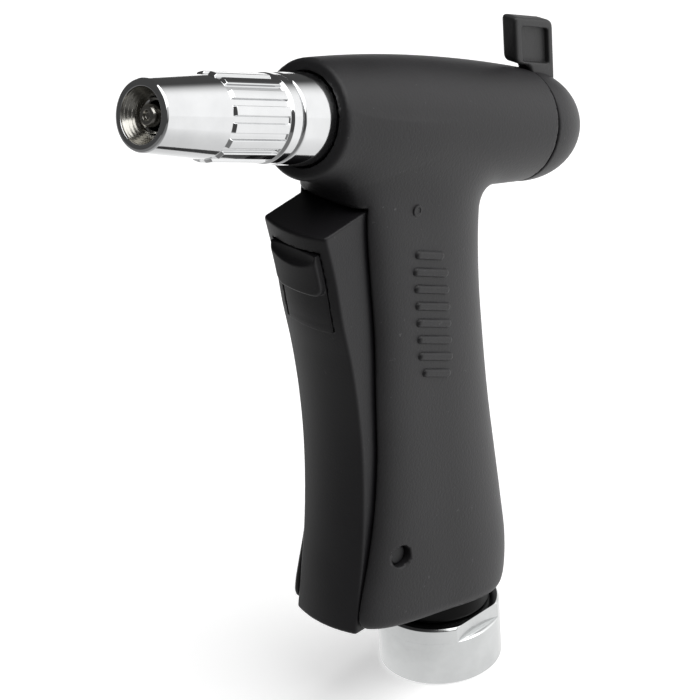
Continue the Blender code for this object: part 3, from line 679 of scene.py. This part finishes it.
grip_rows = [(GRIP_TOP, 69.9), (GRIP_TOP, 52.75), (NECK, 52.4), (NECK, 52.2), (FLANGE, 51.5)]
cup_rows = []
for step in range(CUP_STEPS + 1):
    k = step / CUP_STEPS
    wave = CUP_WAVE_HEIGHT * math.sin(k * 2 * math.pi * CUP_WAVES)
    radius = CUP_FLOOR[0] + (CUP_RIM[0] - CUP_FLOOR[0]) * k + wave
    cup_rows.append((radius, CUP_FLOOR[1] + (CUP_RIM[1] - CUP_FLOOR[1]) * k))
sleeve_profile = (
    cup_rows
    + [(6.5, 90.0), (7.6, 90.0), (8.05, 89.8), (8.3, 89.3), (8.95, 80.0), (GRIP_FLOOR, 70.6)]
    + grip_rows
    + [(FLANGE, 48.9), (10.2, 48.65), (7.5, 48.65), (7.5, 58.3), (6.5, 58.3), (6.5, 60.0), (8.6, 60.0),
       (8.6, 62.4), (6.5, 62.4), (6.5, 69.0), (3.4, 82.0), (3.4, 85.2)]
)
sleeve = turned("nozzle_skin", sleeve_profile, 0.12, ridge_angles(), ON_BARREL, True, fluted)
finish_piece(sleeve, "nozzle", "chrome", CHROME, "nozzle_sleeve")
sleeve.data.materials.append(TURNED)
to_barrel = ON_BARREL.inverted()
for polygon in sleeve.data.polygons:
    middle = to_barrel @ polygon.center
    in_cup = middle.z > (CUP_FLOOR[1] - 0.2) * MM
    if in_cup and math.hypot(middle.x, middle.y) < (CUP_RIM[0] + 0.15) * MM:
        polygon.material_index = 1

core_profile = (
    (4.6, 66.0), (6.2, 66.0), (6.2, 58.0), (7.2, 58.0), (7.2, 48.3), (10.1, 48.3), (10.6, 47.7),
    (11.0, 39.0), (11.0, -36.0), (7.5, -36.0), (7.5, 30.0), (4.6, 34.0),
)
finish_piece(
    turned("collar_and_core", core_profile, 0.3, 128, ON_BARREL),
    "gun_body", "chrome", CHROME, "barrel_core",
)
pin_profile = (
    (0.0, 87.3), (0.9, 87.4), (1.2, 88.2), (2.1, 88.2), (2.6, 87.6), (2.6, 83.6), (1.6, 81.6), (1.6, 61.5),
    (4.3, 61.5), (4.3, 57.5), (0.0, 57.5),
)
finish_piece(
    turned("pin_skin", pin_profile, 0.15, 64, ON_BARREL, closed=False),
    "gun_body", "chrome", TURNED, "spray_pin",
)


# ---------------------------------------------------------------- inlet and pivot


SOCKET_RADIUS = 16.0
FLAT_DISTANCE, BELOW_LEDGE, FLAT_LEDGE, ABOVE_LEDGE = 14.0, 12.56, 12.6, 12.64
THREAD_BORE, THREAD_PITCH, THREAD_DEPTH = 13.2, 1.814, 0.9
THREAD_START, THREAD_END, THREAD_STEPS, THREAD_STEP = 0.7, 9.0, 60, 0.14


def flats_and_thread(angle, r, h):
    """The socket's radius: two spanner flats outside, and a thread whose teeth fade in and out."""
    if r > FLAT_DISTANCE and h > FLAT_LEDGE:
        return np.minimum(r, FLAT_DISTANCE / np.maximum(np.abs(np.sin(angle)), 0.01))
    if abs(r - THREAD_BORE) < 0.2 and THREAD_START < h < THREAD_END:
        turn = (h / THREAD_PITCH - angle / (2 * math.pi)) % 1.0
        tooth = np.clip(1.25 - np.abs(turn - 0.5) * 3.4, 0.0, 1.0)
        fade = min((h - THREAD_START) / 0.8, (THREAD_END - h) / 0.6, 1.0)
        return r - THREAD_DEPTH * tooth * fade
    return np.full(len(angle), r)


def socket_angles():
    """Even angles, with three more about each corner of the flats."""
    corner = math.asin(FLAT_DISTANCE / SOCKET_RADIUS)
    corners = [corner, math.pi - corner, math.pi + corner, 2 * math.pi - corner]
    near = [c + d for c in corners for d in (-0.006, 0.0, 0.006)]
    return np.array(sorted(set(near) | set(np.arange(180) * 2 * math.pi / 180)))


thread_rows = [(THREAD_BORE, THREAD_START + THREAD_STEP * i) for i in range(THREAD_STEPS)]
socket_profile = (
    [(5.8, 17.0), (5.8, 12.0), (THREAD_BORE, 12.0), (THREAD_BORE, 9.4)]
    + thread_rows[::-1]
    + [(13.8, 0.0), (15.5, 0.0), (SOCKET_RADIUS, 0.5)]
    + [(SOCKET_RADIUS, BELOW_LEDGE), (SOCKET_RADIUS, ABOVE_LEDGE)]
    + [(SOCKET_RADIUS, 16.4), (15.5, 17.0)]
)
finish_piece(
    turned("socket_skin", socket_profile, 0.12, socket_angles(), None, True, flats_and_thread),
    "gun_body", "satin_chrome", SATIN, "hose_socket",
)
# The neck ring, in black plastic darkened as painted shade under the handle
finish_piece(
    turned("neck_ring_skin", ((5.8, 17.3), (5.8, 26.0), (13.5, 26.0), (13.5, 18.0), (13.0, 17.3)), 0.4, 96),
    "gun_body", "black_plastic", RING_PLASTIC_PAINTED_SHADE, "neck_ring",
)
finish_piece(
    turned("washer_skin", ((8.6, 9.4), (8.6, 11.7), (12.9, 11.7), (12.9, 9.4)), 0.4, 96),
    "gun_body", "seal_rubber", SEAL, "inlet_washer",
)
pivot_profile = (
    (0.0, -13.3), (2.2, -13.3), (2.6, -12.9), (2.6, 12.9), (2.2, 13.3), (0.0, 13.3),
)
finish_piece(
    turned("pivot_pin_skin", pivot_profile, 0.2, 48, ON_PIVOT, closed=False),
    "gun_body", "stainless_steel", PIN_BLACK, "pivot_pin",
)

# Inner pieces that keep their CAD shape
KEPT = {
    STEEL: (
        "riser_tube", "outlet_tube", "inlet_strainer", "push_pad", "latch_catch", "valve_stem", "disc_nut",
    ),
    BRASS: ("rear_plug", "valve_housing", "valve_plug", "valve_seat", "stem_gland"),
    SEAL: ("plug_oring", "gland_oring", "valve_disc", "sleeve_oring"),
}
for material, names in KEPT.items():
    for name in names:
        for material_slot in NODES[name].material_slots:
            material_slot.link = "OBJECT"
            material_slot.material = material


# The valve spring's coil, a copy of its CAD mesh in plain steel, riding on the body.
coil = bpy.data.objects.new("spring_coil", NODES["valve_spring"].data.copy())
bpy.context.scene.collection.objects.link(coil)
coil.data.materials.clear()
finish_piece(coil, "gun_body", "stainless_steel", STEEL, "valve_spring")
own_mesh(coil)


# ---------------------------------------------------------------- details on the handle's sides


def side_reach(x, z):
    """How far from the middle plane the handle's side is."""
    ahead = x > HANDLE_WIDEST
    edge = front_edge(z) - HANDLE_WIDEST if ahead else HANDLE_WIDEST - rear_edge(z)
    power = FRONT_SQUARENESS if ahead else REAR_SQUARENESS
    return float(half_width(z) * (1.0 - (abs(x - HANDLE_WIDEST) / edge) ** power) ** (1.0 / power))


SIDES = ((1.0, "left"), (-1.0, "right"))
RIBS, RIB_GAP, LOWEST_RIB, RIB_X = 8, 4.6, 93.5, 10.6
RIB_HALF_WIDTH, RIB_HEIGHT, RIB_FOOT = 1.2, 0.75, -0.15
RIB_HALF_LENGTH, END_RIB_HALF_LENGTH = 6.4, 5.2
RIB_SLOPE = math.radians(24.0)
RIB_STEPS_ALONG, RIB_STEPS_ACROSS = 36, 12


def rib_point(near, middle_z, half_length, u, v):
    """A point on a rib, u along it and v across it, both from -1 to 1."""
    end = max(abs(u) * half_length - half_length + RIB_HALF_WIDTH, 0.0) / RIB_HALF_WIDTH
    narrow = math.sqrt(max(1.0 - end**2, 0.0))
    a, b = u * half_length, v * RIB_HALF_WIDTH * max(narrow, 0.02)
    x = RIB_X + a * math.cos(RIB_SLOPE) - b * math.sin(RIB_SLOPE)
    z = middle_z + a * math.sin(RIB_SLOPE) + b * math.cos(RIB_SLOPE)
    fall = min(math.hypot(v * narrow, end), 1.0)
    height = RIB_FOOT + (RIB_HEIGHT - RIB_FOOT) * (1.0 - fall**4)
    return (x, near * (side_reach(x, z) + height), z)


def rib(name, near, middle_z, half_length):
    """A low rounded bar on the handle's side, its foot just under the surface."""
    points, faces = [], []
    for i in range(RIB_STEPS_ALONG + 1):
        u = -1.0 + 2.0 * i / RIB_STEPS_ALONG
        for j in range(RIB_STEPS_ACROSS + 1):
            v = -1.0 + 2.0 * j / RIB_STEPS_ACROSS
            points.append(rib_point(near, middle_z, half_length, u, v))
    row = RIB_STEPS_ACROSS + 1
    for i in range(RIB_STEPS_ALONG):
        for j in range(RIB_STEPS_ACROSS):
            a = i * row + j
            quad = (a, a + 1, a + row + 1, a + row)
            faces.append(quad if near < 0 else quad[::-1])
    return mesh_of(name, points, faces)


for near, side in SIDES:
    for i in range(RIBS):
        half = RIB_HALF_LENGTH if 0 < i < RIBS - 1 else END_RIB_HALF_LENGTH
        obj = rib(f"grip_rib_{side}_{i}", near, LOWEST_RIB + i * RIB_GAP, half)
        finish_piece(obj, "gun_body", "black_rubber", RUBBER)


MARK_X, MARK_Z, MARK_LIFT = 13.3, 138.5, 0.05
mark_profile = ((0.0, -0.3), (0.0, 0.02), (0.8, 0.05), (1.0, 0.3), (1.4, 0.25), (1.5, -0.3))
for near, side in SIDES:
    reach = side_reach(MARK_X, MARK_Z) + MARK_LIFT
    place = placed(MARK_X, near * reach, MARK_Z, -near * math.pi / 2, "X")
    mark = turned(f"mould_mark_{side}", mark_profile, 0.08, 40, place, closed=False)
    finish_piece(mark, "gun_body", "black_rubber", RUBBER)


# ---------------------------------------------------------------- floor, light, camera


FLOOR_RADIUS, FLOOR_DROP, FLOOR_GLOW = 4.0, 0.0002, 0.5
FLOOR_SHEEN, SHEEN_SPAN = (1.3, 0.24), (-0.1, 0.2)
BRIGHT_SIDE = (-0.7, 0.6, 0.3)
SKY_DARK_END, SKY_BRIGHT_START = 0.5, 0.9
SKY_DARK, SKY_BRIGHT = (0.08, 0.08, 0.08), (1.4, 1.4, 1.4)
WHITE = (1.0, 1.0, 1.0, 1.0)
CENTRE = (0.02, 0.0, 0.1)


def by_ray(nodes, links, unseen, seen, surface):
    """Shows the camera one shader, and reflections and bounced light another."""
    mix, path = nodes.new("ShaderNodeMixShader"), nodes.new("ShaderNodeLightPath")
    links.new(path.outputs["Is Camera Ray"], mix.inputs["Fac"])
    links.new(unseen, mix.inputs[1])
    links.new(seen, mix.inputs[2])
    links.new(mix.outputs["Shader"], surface)


def floor():
    """A plain white floor. In reflections and bounced light it darkens towards +X."""
    material, nodes, links, shader = new_material("floor_paint", (0.9, 0.9, 0.9), 0.7)
    shader.inputs["Specular IOR Level"].default_value = 0.15
    shader.inputs["Emission Color"].default_value = WHITE
    shader.inputs["Emission Strength"].default_value = FLOOR_GLOW
    bpy.ops.mesh.primitive_circle_add(
        vertices=128, radius=FLOOR_RADIUS, fill_type="NGON", location=(0.0, 0.0, -FLOOR_DROP),
    )
    obj = bpy.context.active_object
    obj.name = "floor"
    coordinates, split = nodes.new("ShaderNodeTexCoord"), nodes.new("ShaderNodeSeparateXYZ")
    links.new(coordinates.outputs["Object"], split.inputs["Vector"])
    glow = nodes.new("ShaderNodeEmission")
    sheen = spread(nodes, links, split.outputs["X"], *FLOOR_SHEEN, *SHEEN_SPAN)
    links.new(sheen, glow.inputs["Strength"])
    surface = nodes["Material Output"].inputs["Surface"]
    by_ray(nodes, links, glow.outputs["Emission"], shader.outputs["BSDF"], surface)
    obj.data.materials.append(material)


def soft_box(name, place, target, size, power):
    light = bpy.data.lights.new(name, "AREA")
    light.shape = "RECTANGLE"
    light.size, light.size_y = size
    light.energy = power
    obj = bpy.data.objects.new(name, light)
    obj.location = place
    obj.rotation_euler = (Vector(target) - Vector(place)).to_track_quat("-Z", "Y").to_euler()
    bpy.context.scene.collection.objects.link(obj)


def sky():
    """White to the camera. Its light is bright from above and one side, and dark from the other."""
    world = bpy.data.worlds.new("studio")
    bpy.context.scene.world = world
    world.use_nodes = True
    nodes, links = world.node_tree.nodes, world.node_tree.links
    studio = nodes["Background"]
    coordinates = nodes.new("ShaderNodeTexCoord")
    facing = nodes.new("ShaderNodeVectorMath")
    facing.operation = "DOT_PRODUCT"
    facing.inputs[1].default_value = BRIGHT_SIDE
    links.new(coordinates.outputs["Generated"], facing.inputs[0])
    towards = spread(
        nodes, links, facing.outputs["Value"], 0.0, 1.0, SKY_DARK_END, SKY_BRIGHT_START,
    )
    glow = ramp(nodes, links, towards, 0.0, 1.0, SKY_DARK, SKY_BRIGHT)
    glow.color_ramp.interpolation = "EASE"
    links.new(glow.outputs["Color"], studio.inputs["Color"])
    plain = nodes.new("ShaderNodeBackground")
    plain.inputs["Color"].default_value = WHITE
    surface = nodes["World Output"].inputs["Surface"]
    by_ray(nodes, links, studio.outputs["Background"], plain.outputs["Background"], surface)


# The view that matches the photo: azimuth, elevation and roll in degrees, lens in millimetres
AZIMUTH, ELEVATION, ROLL = 46.23, 28.78, -4.0
CAMERA_PLACE, LENS, SENSOR = (0.4965, 0.4919, 0.4755), 164.57, 36.0


def camera():
    azimuth, elevation, roll = math.radians(AZIMUTH), math.radians(ELEVATION), math.radians(ROLL)
    level = math.cos(elevation)
    back = Vector((math.cos(azimuth) * level, math.sin(azimuth) * level, math.sin(elevation)))
    right = Vector((-math.sin(azimuth), math.cos(azimuth), 0.0))
    up = back.cross(right)
    rolled_right = right * math.cos(roll) + up * math.sin(roll)
    rolled_up = up * math.cos(roll) - right * math.sin(roll)
    data = bpy.data.cameras.new("camera")
    data.lens = LENS
    data.sensor_width = SENSOR
    data.clip_start, data.clip_end = 0.05, 20.0
    obj = bpy.data.objects.new("camera", data)
    bpy.context.scene.collection.objects.link(obj)
    rotation = Matrix((rolled_right, rolled_up, back)).transposed().to_4x4()
    obj.matrix_world = Matrix.Translation(CAMERA_PLACE) @ rotation
    bpy.context.scene.camera = obj


floor()
sky()
camera()
soft_box("overhead", (-0.05, 0.35, 1.1), CENTRE, (1.2, 1.2), 11.0)
bpy.context.scene.view_settings.view_transform = "Standard"
